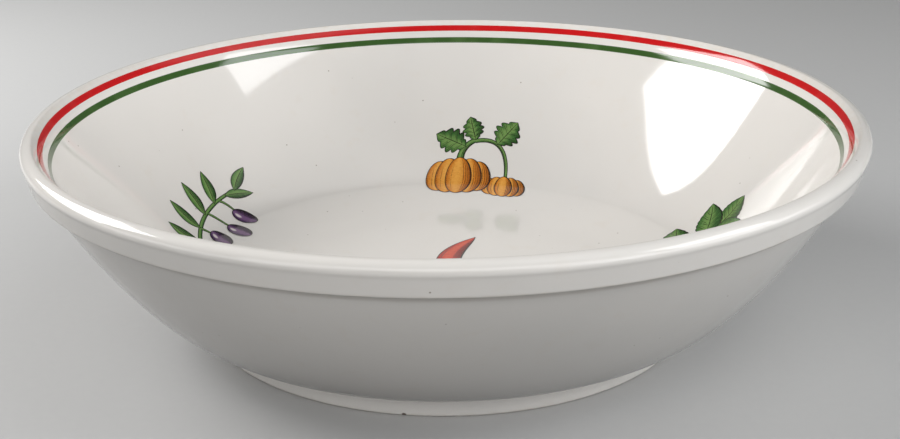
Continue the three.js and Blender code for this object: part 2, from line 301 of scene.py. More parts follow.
# %% [markdown]
# ## Shader sums in Python
# A material is a graph of small nodes. Sums of masks read badly as a graph and well as Python, so
# this class wraps a socket and lets it be added, scaled and compared. Each sign adds one Math node.
# Any other node comes from the one method `node`, with its settings first and its inputs after.

# %% A socket to reckon with
class Wire:
    """A shader socket that can be used in sums."""

    def __init__(self, tree, socket=None):
        self.tree = tree
        self.socket = socket

    def node(self, kind, settings=(), inputs=(), out=0):
        """Adds a node and gives one of its outputs."""
        made = self.tree.nodes.new("ShaderNode" + kind)
        for name, value in dict(settings).items():
            if name == "stops":
                for stop in range(2, len(value)):
                    made.color_ramp.elements.new(value[stop][0])
                for stop, (place, colour) in zip(made.color_ramp.elements, value):
                    stop.position = place
                    stop.color = (*colour, 1)
            else:
                setattr(made, name, value)
        for name, value in dict(inputs).items():
            if isinstance(value, Wire):
                self.tree.links.new(value.socket, made.inputs[name])
            else:
                made.inputs[name].default_value = value
        return Wire(self.tree, made.outputs[out])

    def sum(self, operation, first, second=0.0):
        """Adds one Math node."""
        return self.node("Math", {"operation": operation}, {0: first, 1: second})

    def __add__(self, other):
        return self.sum("ADD", self, other)

    def __sub__(self, other):
        return self.sum("SUBTRACT", self, other)

    def __rsub__(self, other):
        return self.sum("SUBTRACT", other, self)

    def __mul__(self, other):
        return self.sum("MULTIPLY", self, other)

    def __pow__(self, other):
        return self.sum("POWER", self, other)

    def __gt__(self, other):
        return self.sum("GREATER_THAN", self, other)

    def __abs__(self):
        return self.sum("ABSOLUTE", self)

    __radd__ = __add__
    __rmul__ = __mul__


# %% Masks, noise and mixing
def rise(value, start, end):
    """0 below start, 1 above end and a smooth rise between them."""
    inputs = {"Value": value, "From Min": start, "From Max": end}
    return value.node("MapRange", {"interpolation_type": "SMOOTHSTEP"}, inputs)


def stripe(value, start, end, soft):
    """1 between start and end, and 0 outside."""
    return rise(value, start - soft, start + soft) * (1 - rise(value, end - soft, end + soft))


def noise(place, size, detail=2.0):
    """Cloudy values about 0.5, with patches of about the given size in metres."""
    inputs = {"Vector": place, "Scale": 1 / size, "Detail": detail}
    return place.node("TexNoise", {}, inputs)


def mixed(under, over, share):
    """One colour over another, by a share from 0 to 1."""
    return share.node("Mix", {"data_type": "RGBA"}, {0: share, 6: under, 7: over}, out=2)


def begin(name):
    """A new material, and a wire to start its graph from."""
    material = bpy.data.materials.new(name)
    material.use_nodes = True
    return material, Wire(material.node_tree)


def finish(material, constants, **varied):
    """Sets the shader's constants on its sockets and links what varies over the surface."""
    shader = material.node_tree.nodes["Principled BSDF"]
    for name, value in constants.items():
        shader.inputs[name].default_value = value
    for name, wire in varied.items():
        material.node_tree.links.new(wire.socket, shader.inputs[name.replace("_", " ")])
    print("finish:", material.name, len(material.node_tree.nodes), "nodes")


# %% [markdown]
# ## The glaze
# A cream glaze isn't one colour. It is a glass of a third of a millimetre over buff clay, so it lies
# paler where it is thick, goes warm where it thins over an edge, and holds a few dark specks of iron.
# Under the collar and round the neck it is painted grey: partly glaze that pools in those corners,
# and partly painted shade that the collar and the wall would cast there. A painted picture could show
# all that, but a graph that reads the profile coordinate puts each effect exactly at its edge or
# corner. The standing ring is wiped clean before firing, so bare clay shows there. Gloss is low
# roughness with a glassy index. A knock has left one small chip in the lower edge of the foot.

# %% Cream glaze over buff clay
CREAM = (0.79, 0.762, 0.725, 1)
WARM = (0.73, 0.655, 0.56, 1)
COOL = (0.71, 0.695, 0.67, 1)
# Grey for under the collar and round the neck: pooled glaze and painted shade.
POOLED_GLAZE_AND_SHADE = (0.40, 0.35, 0.28, 1)
IRON = (0.20, 0.15, 0.10, 1)
CHIPPED = (0.10, 0.07, 0.05, 1)
CLAY = (0.60, 0.49, 0.36, 1)
CLAY_GRAIN = (0.42, 0.33, 0.24, 1)
GLASSY = {"IOR": 1.6, "Specular IOR Level": 0.5}

glaze, wire = begin("cream_glaze")
place = wire.node("TexCoord", out="Object")
chart = wire.node("SeparateXYZ", {}, {0: wire.node("UVMap", {"uv_map": "OFBake"})}, out="Y")
down = chart * float(girth[-1])

cloud = noise(place, 0.11, 3.0)
mottle = noise(place, 0.009, 3.0)
break_up = noise(place, 0.004, 2.0)
colour = mixed(CREAM, COOL, rise(cloud, 0.45, 0.75) * 0.55)
colour = mixed(colour, WARM, rise(mottle, 0.56, 0.80) * 0.16)
thin = stripe(down, reach["lip_edge"][0] - 0.6, reach["lip_edge"][1] + 0.3, 0.7)
thin = thin + stripe(down, *reach["collar_edge"], 0.6)
thin = thin + stripe(down, *reach["foot_outer_edge"], 0.5)
colour = mixed(colour, WARM, thin * rise(break_up, 0.30, 0.72) * 0.32)
crease, neck_round = reach["crease"], reach["neck_round"]
# Painted shade: a grey stripe below the collar, reaching down the wall where the collar's shadow
# falls, and round the neck. It is partly pooled glaze and partly painted shade.
pooled_glaze_and_shade = stripe(down, crease[0] - 2.2, crease[1] + 0.2, 0.9) * 0.5
pooled_glaze_and_shade = pooled_glaze_and_shade + stripe(down, neck_round[0] + 0.8, neck_round[1] - 0.5, 1.0) * 0.35
colour = mixed(colour, POOLED_GLAZE_AND_SHADE, pooled_glaze_and_shade * (0.42 + 0.5 * mottle))

# %% Specks, the bare foot and the shine
cells = {"Vector": place, "Scale": 420.0}
seed = wire.node("SeparateColor", {}, {0: wire.node("TexVoronoi", {}, cells, out="Color")})
near = wire.node("TexVoronoi", {}, cells, out="Distance")
speck = (seed > 0.988) * (1 - rise(near, 0.06, 0.20))
colour = mixed(colour, IRON, speck * 0.8)

CHIP = np.array([[-15.9, -100.3, 0.5]])
ends = {0: place, 1: settled(CHIP)[0]}
apart = wire.node("VectorMath", {"operation": "DISTANCE"}, ends, out="Value")
chip = 1 - rise(apart + break_up * 0.0008, 0.0010, 0.0015)
colour = mixed(colour, CHIPPED, chip)

edge = break_up * 1.6 - 0.8
bare_start, bare_end = reach["foot_inner_edge"][0] + 0.6, reach["foot_outer_edge"][0] + 0.9
bare = stripe(down + edge, bare_start, bare_end, 0.25)
grain = noise(place, 0.0011, 4.0)
clay = mixed(CLAY, CLAY_GRAIN, rise(grain, 0.42, 0.72))
colour = mixed(colour, clay, bare)

wave = noise(place, 0.055, 1.0)
skin = noise(place, 0.0045, 1.0)
height = wave * 0.9 + skin * 0.028 + bare * grain * 0.25 - speck * 0.03 - chip * 0.4
bump = wire.node("Bump", {}, {"Strength": 0.35, "Distance": 0.0006, "Height": height})
shine = 0.055 + 0.05 * rise(cloud, 0.4, 0.8) + bare * 0.72 + chip * 0.6
finish(glaze, GLASSY, Base_Color=colour, Roughness=shine, Normal=bump)
body.data.materials.append(glaze)

# %% [markdown]
# ## The bands
# The two bands are laid with a soft brush while the bowl turns on a wheel. A band is a thin skin of
# colour, so a ring of its own that follows the wall is truer, and stays sharper, than a stripe in
# the glaze. The brush leaves its edges a little uneven, and the colour dense in the middle and
# weaker at both edges. Places on the inside are given by their drop from the lip. It is counted as
# on the solids, whose run below the lip is straight, so bands and prints lie where theirs do.

# %% The inside face, measured down from the lip
RIM_PARTS = ("lip_edge", "lip_roll", "inside_run")
SOLID_RUN_SLOPE = 63
SOLID_LIP_EDGE = 1.4
inside = np.vstack([parts[name] for name in (*RIM_PARTS, "inside_wall", "floor_bend", "floor")])
wall_start = sum(len(parts[name]) for name in RIM_PARTS)
solid_run = (HEIGHT - inside_wall[-1, 1]) / math.sin(math.radians(SOLID_RUN_SLOPE))
straight_run = solid_run - SOLID_LIP_EDGE
drops = lengths(inside) - lengths(inside)[wall_start] + straight_run
slopes = np.gradient(inside, drops, axis=0)
slopes /= np.linalg.norm(slopes, axis=1, keepdims=True)


def on_inside(drop, angle, lift):
    """Places in millimetres: down from the lip, round the bowl and off the clay."""
    radius = np.interp(drop, drops, inside[:, 0]) + lift * np.interp(drop, drops, slopes[:, 1])
    rises = np.interp(drop, drops, inside[:, 1]) - lift * np.interp(drop, drops, slopes[:, 0])
    return np.stack([radius * np.cos(angle), radius * np.sin(angle), rises], axis=-1)


# %% Rings of colour
BAND_ROWS = 7
RED_DROP, RED_WIDTH = 0.7, 3.1
GREEN_DROP, GREEN_WIDTH = 7.2, 2.9


def wander(angle, seed):
    """A slow wobble round the bowl, about 1 at most, that meets itself."""
    chance = random.Random(seed)
    waves = [
        (turns, chance.uniform(0, 6.3), chance.uniform(0.3, 1) / turns)
        for turns in (2, 3, 5, 9, 14)
    ]
    return sum(size * np.sin(turns * angle + phase) for turns, phase, size in waves)


def make_band(name, node, drop, width, seed):
    """A ring of colour with wandering edges, a little thicker in its middle."""
    across = np.linspace(0, 1, BAND_ROWS)[:, None]
    top = drop + 0.05 * wander(angles, seed)
    bottom = drop + width + 0.06 * wander(angles, seed + 1)
    places = top + (bottom - top) * across
    lift = 0.03 + 0.05 * (1 - (2 * across - 1) ** 4) + 0 * angles
    points = on_inside(places, angles + 0 * across, lift).reshape(-1, 3)
    faces = [face[::-1] for face in strip(BAND_ROWS, SIDES, closed=True)]
    corners = []
    for face in faces:
        sides = [index % SIDES for index in face]
        for index, side in zip(face, sides):
            side = SIDES if side == 0 and max(sides) == SIDES - 1 else side
            corners.append((side / SIDES, (index // SIDES) / (BAND_ROWS - 1)))
    piece = make_piece(name, points, faces, corners, "form")
    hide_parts(node)
    return piece


red_band = make_band("red_band", "red_rim_band", RED_DROP, RED_WIDTH, 11)
green_band = make_band(
    "green_band", "green_rim_band", GREEN_DROP, GREEN_WIDTH, 23
)
print("bands:", red_band.name, green_band.name)


# %% Band colours
def band_colour(name, dense, weak):
    """A glassy colour, dense in the middle of a band and weaker at its edges."""
    material, wire = begin(name)
    place = wire.node("TexCoord", out="Object")
    across = wire.node("SeparateXYZ", {}, {0: wire.node("UVMap", {"uv_map": "form"})}, out="Y")
    streak = noise(place, 0.012, 2.0)
    edge = abs(across * 2 - 1) ** 5
    share = edge * 0.55 + rise(streak, 0.45, 0.8) * 0.4
    colour = mixed((*dense, 1), (*weak, 1), share)
    shine = 0.07 + 0.06 * streak
    finish(material, GLASSY, Base_Color=colour, Roughness=shine)
    return material


for band, name, dense, weak in (
    (red_band, "red_band_colour", (0.56, 0.009, 0.011), (0.60, 0.045, 0.040)),
    (green_band, "green_band_colour", (0.040, 0.098, 0.022), (0.10, 0.185, 0.058)),
):
    band.data.materials.append(band_colour(name, dense, weak))

# %% [markdown]
# ## The prints
# A print comes to the pottery as a transfer: a sheet with flat shapes of colour and engraved lines
# over them, which is wetted, slid on to the glaze and fired. The script does the same. It draws on a
# flat sheet in millimetres and then bends the sheet on to the wall. Every shape runs from a root to
# a tip between two margins, which makes a neat grid and tells the colour how far across and up the
# shape it is. Each later shape lies a hundredth of a millimetre higher, so it covers what is below.

# %% Flat shapes
class Form:
    """A flat shape between two margins that run from its root to its tip."""

    def __init__(self, left, right):
        self.left = np.asarray(left, float)
        self.right = np.asarray(right, float)

    def at(self, across, up):
        """Places by their share of the way across and up."""
        rows = np.linspace(0, 1, len(self.left))
        share = np.asarray(across, float)[..., None]
        left, right = (
            np.stack([np.interp(up, rows, margin[:, k]) for k in (0, 1)], axis=-1)
            for margin in (self.left, self.right)
        )
        return left * (1 - share) + right * share

    def placed(self, x, y, degrees=0.0):
        """The shape turned about its root and moved."""
        c, s = math.cos(math.radians(degrees)), math.sin(math.radians(degrees))
        spin = np.array([[c, s], [-s, c]])
        return Form(self.left @ spin + [x, y], self.right @ spin + [x, y])


def oval(width, height):
    """An ellipse about its own middle."""
    turn = np.radians(np.linspace(-90, 90, 25))
    half = np.stack([width / 2 * np.cos(turn), height / 2 * np.sin(turn)], axis=1)
    return Form(half * [-1, 1], half)


def leaf(length, width, teeth=0, bite=0.0, bow=0.0):
    """A leaf with its widest part below the middle, with teeth along its margins if asked."""
    u = np.linspace(0, 1, 61)
    half = 2 * u * (1 - u) * width
    if teeth:
        half = half * (1 - bite * (1 - np.abs(np.sin(np.pi * teeth * u))))
    mid = bow * np.sin(np.pi * u)
    up = 0.84 * u * (1 - u) * length + u * u * length
    return Form(np.stack([mid - half, up], axis=1), np.stack([mid + half, up], axis=1))


def stem(ends, thickness, spread=0.35):
    """A stalk along a curve, tapering to its far end."""
    line = curve(ends, 24)
    way = np.gradient(line, axis=0)
    way /= np.linalg.norm(way, axis=1, keepdims=True)
    half = (thickness / 2 * (1 - spread * np.linspace(0, 1, 25)))[:, None]
    aside = np.stack([way[:, 1], -way[:, 0]], axis=1) * half
    return Form(line - aside, line + aside)


print("a test oval is", np.ptp(oval(9, 12).right[:, 1]), "mm high")


# %% A sheet that collects shapes and lines
class Sheet:
    """Flat print for one piece: points with their lift, faces and form coordinates."""

    def __init__(self):
        self.points = []
        self.faces = []
        self.form = []

    def lay(self, grid, lift, form):
        """Adds a grid of places at one height, with their form coordinates."""
        rows, columns = grid.shape[:2]
        self.faces += strip(rows, columns, start=len(self.points))
        flat = grid.reshape(-1, 2)
        self.points += [(x, y, lift) for x, y in flat]
        self.form += [tuple(pair) for pair in form.reshape(-1, 2)]

    def fill(self, form, lift, shift=0.0):
        """Lays a shape of colour. The shift moves its height coordinate into another range."""
        rows, columns = np.linspace(0, 1, len(form.left)), np.linspace(0, 1, 9)
        up, across = np.meshgrid(rows, columns, indexing="ij")
        self.lay(form.at(across, up), lift, np.stack([across, up + shift], axis=-1))

    def line(self, path, width, lift, ends=0.25):
        """Draws an engraved line that swells in the middle."""
        path = np.asarray(path, float)
        way = np.gradient(path, axis=0)
        way /= np.maximum(np.linalg.norm(way, axis=1, keepdims=True), 1e-9)
        share = np.linspace(0, 1, len(path))
        half = width / 2 * (ends + (1 - ends) * np.sin(np.pi * share) ** 0.6)
        aside = np.stack([way[:, 1], -way[:, 0]], axis=1) * half[:, None]
        grid = np.stack([path - aside, path + aside], axis=1)
        across = np.tile([0.0, 1.0], (len(path), 1))
        form = np.stack([across, np.repeat(share[:, None], 2, 1)], axis=2)
        self.lay(grid, lift, form)


# %% Engraver's strokes
LOWEST = 0.05
STEP = 0.014
INK = 0.007


def level(order):
    """How high the shape of some order lies off the clay, in millimetres."""
    return LOWEST + STEP * order


def outline(ink, form, order, width=0.5):
    """Draws both margins, the one away from the light more strongly."""
    ink.line(form.left, 0.8 * width, level(order) + INK, ends=0.6)
    ink.line(form.right, 1.15 * width, level(order) + INK, ends=0.6)


def hatch(ink, form, order, chance, across, up, count, width=0.24):
    """Draws lines along a shape, side by side, that start and stop unevenly."""
    for place in np.linspace(*across, count):
        low, high = up[0] + chance.uniform(0, 0.10), up[1] - chance.uniform(0, 0.16)
        path = form.at(np.full(14, place), np.linspace(low, high, 14))
        ink.line(path, width * chance.uniform(0.7, 1.3), level(order) + INK, ends=0.1)


def rings(ink, form, order, chance, across, up, count, width=0.22, bulge=0.0):
    """Draws short lines across a shape, bent as they would be round its body."""
    share = np.linspace(0, 1, 9)
    for place in np.linspace(*up, count):
        reach_in = across[1] - chance.uniform(0, 0.3) * (across[1] - across[0])
        side = across[0] + (reach_in - across[0]) * share
        path = form.at(side, place - bulge * (1 - (2 * side - 1) ** 2))
        ink.line(path, width * chance.uniform(0.7, 1.3), level(order) + INK, ends=0.1)


def veins(ink, form, order, chance, pairs, width=0.3):
    """Draws a leaf's midrib and side veins, with fine shading on its darker half."""
    midrib = form.at(np.full(20, 0.5), np.linspace(0.02, 0.96, 20))
    ink.line(midrib, 1.3 * width, level(order) + INK, ends=0.35)
    share = np.linspace(0, 1, 9)
    for place in np.linspace(0.16, 0.72, pairs):
        for side in (-1, 1):
            path = form.at(0.5 + side * 0.44 * share, place + 0.17 * share**1.3)
            ink.line(path, 0.75 * width, level(order) + INK, ends=0.3)
            for minor in (0.33, 0.66) if side > 0 else (0.5,):
                begin_at = place + minor * 0.56 / pairs
                path = form.at(0.5 + side * (0.08 + 0.34 * share), begin_at + 0.15 * share)
                ink.line(path, 0.5 * width * chance.uniform(0.7, 1.2), level(order) + INK, ends=0.1)


# %% Laying a sheet on the clay
PRINT_DROP = 80.0
FIRST_PRINT, PRINT_STEP = 83, 72


def fire(sheet, name, colour, place=None, node=None):
    """Bends a sheet on to the wall at its place in the ring of prints, or lays it on the floor."""
    x, y, lift = np.array(sheet.points).T
    if place is None:
        points = np.stack([x, y, FLOOR + lift], axis=1)
    else:
        drop = PRINT_DROP - y
        middle = math.radians(FIRST_PRINT + PRINT_STEP * place)
        angle = middle - x / np.interp(drop, drops, inside[:, 0])
        points = on_inside(drop, angle, lift)
    corners = [sheet.form[index] for face in sheet.faces for index in face]
    piece = make_piece(name, points, sheet.faces, corners, "form")
    if node:
        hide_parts(node)
    piece.data.materials.append(colour)


# %% [markdown]
# ## Fired colours
# The colours of a print are ground glass with metal oxides, so they shine like the glaze around
# them. Each shape's own coordinates shade it: light a little left of the middle, deep at the
# margins. Fine blots break the tint up, as the dots of a printed transfer do.

# %% Shaded colour
PALE_SPOT = (0.86, 0.80, 0.76, 1)
PALE_ROOT = (0.74, 0.62, 0.54, 1)


def fired_colour(name, light, main, deep, gloss_spot=0.0, pale_tip=None):
    """A glassy colour, light near the middle of a shape and deep at its margins."""
    material, wire = begin(name)
    place = wire.node("TexCoord", out="Object")
    form = wire.node("UVMap", {"uv_map": "form"})
    across = wire.node("SeparateXYZ", {}, {0: form}, out="X")
    up = wire.node("SeparateXYZ", {}, {0: form}, out="Y")
    blot = noise(place, 0.0011, 3.0)
    turn = abs(across - 0.42) * 1.7
    shade = turn ** 1.7 + (blot - 0.5) * 0.5
    ramp = {"stops": [(0.0, light), (0.38, main), (1.0, deep)]}
    colour = wire.node("ValToRGB", ramp, {0: shade})
    if gloss_spot:
        spot = (abs(across - 0.34) * 2.2) ** 2 + (abs(up - 0.66) * 2.4) ** 2
        colour = mixed(colour, PALE_SPOT, (1 - rise(spot, 0.02, 0.10)) * gloss_spot)
    if pale_tip:
        colour = mixed(colour, pale_tip, rise(up + blot * 0.3, 1.05, 1.55))
    finish(material, GLASSY, Base_Color=colour, Roughness=0.08 + 0.05 * blot)
    return material


squash_orange = fired_colour(
    "squash_orange", (0.80, 0.38, 0.07), (0.60, 0.20, 0.022), (0.22, 0.052, 0.006)
)
leaf_green = fired_colour(
    "leaf_green", (0.17, 0.30, 0.085), (0.062, 0.165, 0.040), (0.012, 0.050, 0.012)
)
olive_purple = fired_colour(
    "olive_purple", (0.19, 0.10, 0.22), (0.060, 0.028, 0.085), (0.012, 0.006, 0.018), 0.75
)
root_red = fired_colour(
    "root_red", (0.66, 0.10, 0.12), (0.47, 0.022, 0.045), (0.17, 0.006, 0.016), 0.6, PALE_ROOT
)
chilli_red = fired_colour(
    "chilli_red", (0.68, 0.085, 0.035), (0.50, 0.020, 0.014), (0.17, 0.006, 0.006)
)
cap_brown = fired_colour(
    "cap_brown", (0.56, 0.34, 0.16), (0.34, 0.165, 0.060), (0.105, 0.042, 0.014)
)
stem_straw = fired_colour(
    "stem_straw", (0.78, 0.69, 0.50), (0.66, 0.53, 0.33), (0.34, 0.235, 0.12)
)

# %% Ink
ink_line, wire = begin("ink_line")
place = wire.node("TexCoord", out="Object")
thinning = rise(noise(place, 0.0016, 2.0), 0.42, 0.78)
finish(
    ink_line,
    GLASSY,
    Base_Color=mixed((0.011, 0.009, 0.007, 1), (0.055, 0.042, 0.030, 1), thinning),
    Roughness=0.09 + 0.06 * thinning,
)

# %% [markdown]
# ## First print: two squashes on a vine
# A squash is a ring of ribs. Each rib is one oval, drawn from the outside in so that the middle one
# lies on top, and hatched at its edges to turn it round. The vine lies under both fruits.

# %% Squash
def draw_squash(sheet, ink, x, y, width, height, order, chance):
    """Five ribs side by side, the outer ones shorter and drawn first."""
    for part in (-0.3, 0.3, -0.16, 0.16, 0.0):
        rib = oval(0.4 * width, height * (1 - 2 * part * part)).placed(x + part * width, y)
        sheet.fill(rib, level(order))
        outline(ink, rib, order, 0.5)
        hatch(ink, rib, order, chance, (0.70, 0.96), (0.14, 0.90), 4)
        hatch(ink, rib, order, chance, (0.05, 0.22), (0.22, 0.80), 2, 0.18)
        order += 1
    return order


chance = random.Random(5)
vine, large, small, ink = Sheet(), Sheet(), Sheet(), Sheet()
stalk_ends = [(-8, 4), (-9, 14), (0, 18)]
runner_ends = [(-1, 17), (17, 21), (15.5, -5)]
order = 0
for ends, thickness in ((stalk_ends, 3.6), (runner_ends, 2.2)):
    stalk = stem(ends, thickness)
    vine.fill(stalk, level(order))
    outline(ink, stalk, order, 0.45)
    hatch(ink, stalk, order, chance, (0.60, 0.85), (0.02, 0.98), 2, 0.2)
    order += 1
for ends, share, degrees, length, width in (
    (stalk_ends, 0.6, 66, 17, 14),
    (runner_ends, 0.4, -38, 16, 14),
    (stalk_ends, 0.95, 16, 13, 11),
):
    root = curve(ends, 100)[round(100 * share)]
    blade = leaf(length, width, teeth=5, bite=0.34).placed(*root, degrees)
    vine.fill(blade, level(order))
    outline(ink, blade, order, 0.45)
    veins(ink, blade, order, chance, 4)
    order += 1
order = draw_squash(small, ink, 15, -11, 22, 16, order, chance)
order = draw_squash(large, ink, -8, -5, 32, 25, order, chance)

for sheet, name, node, slot, colour in (
    (vine, "squash_vine", "squash_vine_print", "green_print", leaf_green),
    (small, "small_squash", "small_squash_print", "orange_print", squash_orange),
    (large, "large_squash", "large_squash_print", "orange_print", squash_orange),
):
    fire(sheet, name, colour, 0, node)
fire(ink, "squash_ink", ink_line, 0)
print("squash print:", order, "shapes,", len(ink.faces), "ink faces")

# %% [markdown]
# ## Second print: an olive branch
# Narrow leaves stand off a bowed twig, and three olives hang under it. A soft pale spot on each olive
# is part of the print, not of the light, so it belongs to the colour.

# %% Olive branch
chance = random.Random(8)
branch, ink = Sheet(), Sheet()
bough = [(-26, -7), (-6, 8), (25, 9)]
order = 0
for ends, thickness in (
    (bough, 2.2),
    ([(-14, 0), (-12, -2), (-11, -6)], 1.4),
    ([(-2, 4), (1, 0), (2, -8)], 1.4),
    ([(10, 7), (13, 5), (13.5, -2)], 1.4),
):
    twig = stem(ends, thickness)
    branch.fill(twig, level(order))
    outline(ink, twig, order, 0.4)
    order += 1
for share, degrees, length, width in (
    (0.08, 24, 18, 6), (0.06, -142, 15, 5.5), (0.28, 12, 19, 6), (0.48, -4, 19, 6),
    (0.68, -20, 18, 6), (0.84, -104, 16, 5.5), (0.96, -56, 17, 5.5),
):
    root = curve(bough, 100)[round(100 * share)]
    blade = leaf(length, width, bow=chance.uniform(-1.2, 1.2)).placed(*root, degrees)
    branch.fill(blade, level(order))
    outline(ink, blade, order, 0.42)
    midrib = blade.at(np.full(16, 0.5), np.linspace(0.03, 0.95, 16))
    ink.line(midrib, 0.36, level(order) + INK, ends=0.3)
    hatch(ink, blade, order, chance, (0.60, 0.90), (0.10, 0.92), 4, 0.2)
    order += 1
fire(branch, "olive_branch", leaf_green, 1, "olive_branch_print")
for number, (x, y, degrees) in enumerate(((-11, -10, -12), (2, -12, 4), (14, -6, 18)), 1):
    olive = oval(9, 12).placed(x, y, degrees)
    fruit = Sheet()
    fruit.fill(olive, level(order))
    outline(ink, olive, order, 0.5)
    hatch(ink, olive, order, chance, (0.62, 0.95), (0.10, 0.92), 6, 0.22)
    rings(ink, olive, order, chance, (0.98, 0.55), (0.16, 0.80), 7, 0.18, bulge=0.04)
    node = f"olive_print_{number}"
    fire(fruit, f"olive_{number}", olive_purple, 1, node)
    order += 1
fire(ink, "olive_ink", ink_line, 1)
print("olive print:", order, "shapes,", len(ink.faces), "ink faces")

# %% [markdown]
# ## Third print: two radishes
# A radish is an oval with a thread of root, red above and pale at the tip. Its leaves are lobed, and
# lie under the roots.

# %% Radishes
chance = random.Random(13)
tops, ink = Sheet(), Sheet()
left_stalk = [(-8, -5), (-5, 2), (1, 9)]
right_stalk = [(8, -5), (5, 2), (-1, 9)]
order = 0
for ends in (left_stalk, right_stalk):
    stalk = stem(ends, 2.6)
    tops.fill(stalk, level(order))
    outline(ink, stalk, order, 0.42)
    hatch(ink, stalk, order, chance, (0.55, 0.85), (0.02, 0.98), 2, 0.2)
    order += 1
for ends, share, degrees, length, width in (
    (left_stalk, 0.7, 52, 17, 9), (left_stalk, 0.9, -34, 18, 10), (right_stalk, 0.9, 14, 20, 10),
):
    root = curve(ends, 100)[round(100 * share)]
    blade = leaf(length, width, teeth=6, bite=0.26, bow=0.8).placed(*root, degrees)
    tops.fill(blade, level(order))
    outline(ink, blade, order, 0.45)
    veins(ink, blade, order, chance, 5, 0.28)
    order += 1
fire(tops, "radish_leaves", leaf_green, 2, "radish_leaves_print")
for number, (x, y, width, height, degrees, tail_x, tail_y, tail_turn) in enumerate(
    ((-9, -10, 15, 16, -16, -10, -15, 160), (9, -9, 14, 15, 18, 10, -14, 198)), 1
):
    bulb = oval(width, height).placed(x, y, degrees)
    tail = leaf(13, 6, bow=0.6).placed(tail_x, tail_y, tail_turn)
    radish = Sheet()
    radish.fill(tail, level(order), shift=1.0)
    outline(ink, tail, order, 0.35)
    order += 1
    radish.fill(bulb, level(order))
    outline(ink, bulb, order, 0.5)
    hatch(ink, bulb, order, chance, (0.66, 0.97), (0.08, 0.92), 7, 0.22)
    rings(ink, bulb, order, chance, (0.02, 0.40), (0.12, 0.34), 4, 0.18, bulge=0.05)
    node = f"radish_print_{number}"
    fire(radish, f"radish_{number}", root_red, 2, node)
    order += 1
fire(ink, "radish_ink", ink_line, 2)
print("radish print:", order, "shapes,", len(ink.faces), "ink faces")

# %% [markdown]
# ## Fourth print: two mushrooms
# The cap's margins run from one side to the other: its dome above and its hollow edge below. Short
# strokes along that edge read as gills, and dots on the dome as its skin.

# %% Mushrooms
def cap(width, height):
    """A dome above and a hollow edge below."""
    half, peak = width / 2, 1.25 * height
    dome = curve([(-half, 0), (-half, peak), (half, peak), (half, 0)], 40)
    hollow = curve([(-half, 0), (0, -0.35 * height), (half, 0)], 40)
    return Form(dome, hollow)


chance = random.Random(21)
ink = Sheet()
order = 0
stalks = (([(-9, -22), (-11, -8), (-7, 6)], 9), ([(12, -23), (14, -16), (13, -5)], 7))
for number, (ends, thickness) in enumerate(stalks, 1):
    stalk = stem(ends, thickness, 0.30)
    trunk = Sheet()
    trunk.fill(stalk, level(order))
    outline(ink, stalk, order, 0.5)
    hatch(ink, stalk, order, chance, (0.58, 0.94), (0.02, 0.96), 6, 0.22)
    hatch(ink, stalk, order, chance, (0.06, 0.22), (0.10, 0.90), 2, 0.18)
    ink.line(stalk.at(np.linspace(0, 1, 12), np.zeros(12)), 0.5, level(order) + INK, ends=0.6)
    node = f"mushroom_stem_print_{number}"
    fire(trunk, f"mushroom_stem_{number}", stem_straw, 3, node)
    order += 1
caps = ((-7, 3, 8, 32, 15), (13, -8, -12, 22, 10))
for number, (x, y, degrees, width, height) in enumerate(caps, 1):
    dome = cap(width, height).placed(x, y, degrees)
    top = Sheet()
    top.fill(dome, level(order))
    outline(ink, dome, order, 0.5)
    share = np.linspace(0, 1, 8)
    for place in np.linspace(0.10, 0.90, 40):
        gill = dome.at(0.99 - 0.26 * share * chance.uniform(0.6, 1.0), np.full(8, place))
        ink.line(gill, 0.22, level(order) + INK, ends=0.2)
    for _ in range(46):
        spot, side = chance.uniform(0.08, 0.92), chance.uniform(0.08, 0.60)
        dot = dome.at(np.full(4, side), spot + np.linspace(0, 0.012, 4))
        ink.line(dot, 0.45, level(order) + INK, ends=0.4)
    rings(ink, dome, order, chance, (0.72, 0.25), (0.70, 0.93), 9, 0.2)
    node = f"mushroom_cap_print_{number}"
    fire(top, f"mushroom_cap_{number}", cap_brown, 3, node)
    order += 1
fire(ink, "mushroom_ink", ink_line, 3)
print("mushroom print:", order, "shapes,", len(ink.faces), "ink faces")

# %% [markdown]
# ## Fifth print: a sprig of basil
# Pairs of broad leaves stand on one stalk. The pair in front is drawn last, and strong side veins
# give the leaves their blistered look.

# %% Basil
chance = random.Random(34)
sprig, ink = Sheet(), Sheet()
stalk_ends = [(-4, -25), (2, -8), (0, 10)]
stalk = stem(stalk_ends, 2.2)
sprig.fill(stalk, level(0))
outline(ink, stalk, 0, 0.42)
hatch(ink, stalk, 0, chance, (0.6, 0.85), (0.02, 0.98), 2, 0.2)
order = 1
for share, degrees, length, width in (
    (0.9, 2, 18, 13), (0.66, 46, 22, 14), (0.72, -44, 22, 14),
    (0.3, 64, 20, 13), (0.36, -62, 21, 13),
):
    root = curve(stalk_ends, 100)[round(100 * share)]
    bow = chance.uniform(-0.8, 0.8)
    blade = leaf(length, width, teeth=9, bite=0.07, bow=bow).placed(*root, degrees)
    sprig.fill(blade, level(order))
    outline(ink, blade, order, 0.48)
    veins(ink, blade, order, chance, 5, 0.32)
    order += 1
fire(sprig, "basil_sprig", leaf_green, 4, "basil_print")
fire(ink, "basil_ink", ink_line, 4)
print("basil print:", order, "shapes,", len(ink.faces), "ink faces")

# %% [markdown]
# ## Floor print: three chillies
# Three peppers swirl out from where their stalks meet. The floor is level, so this sheet is laid
# without bending. A line of bare colour is left along each pepper as its shine.

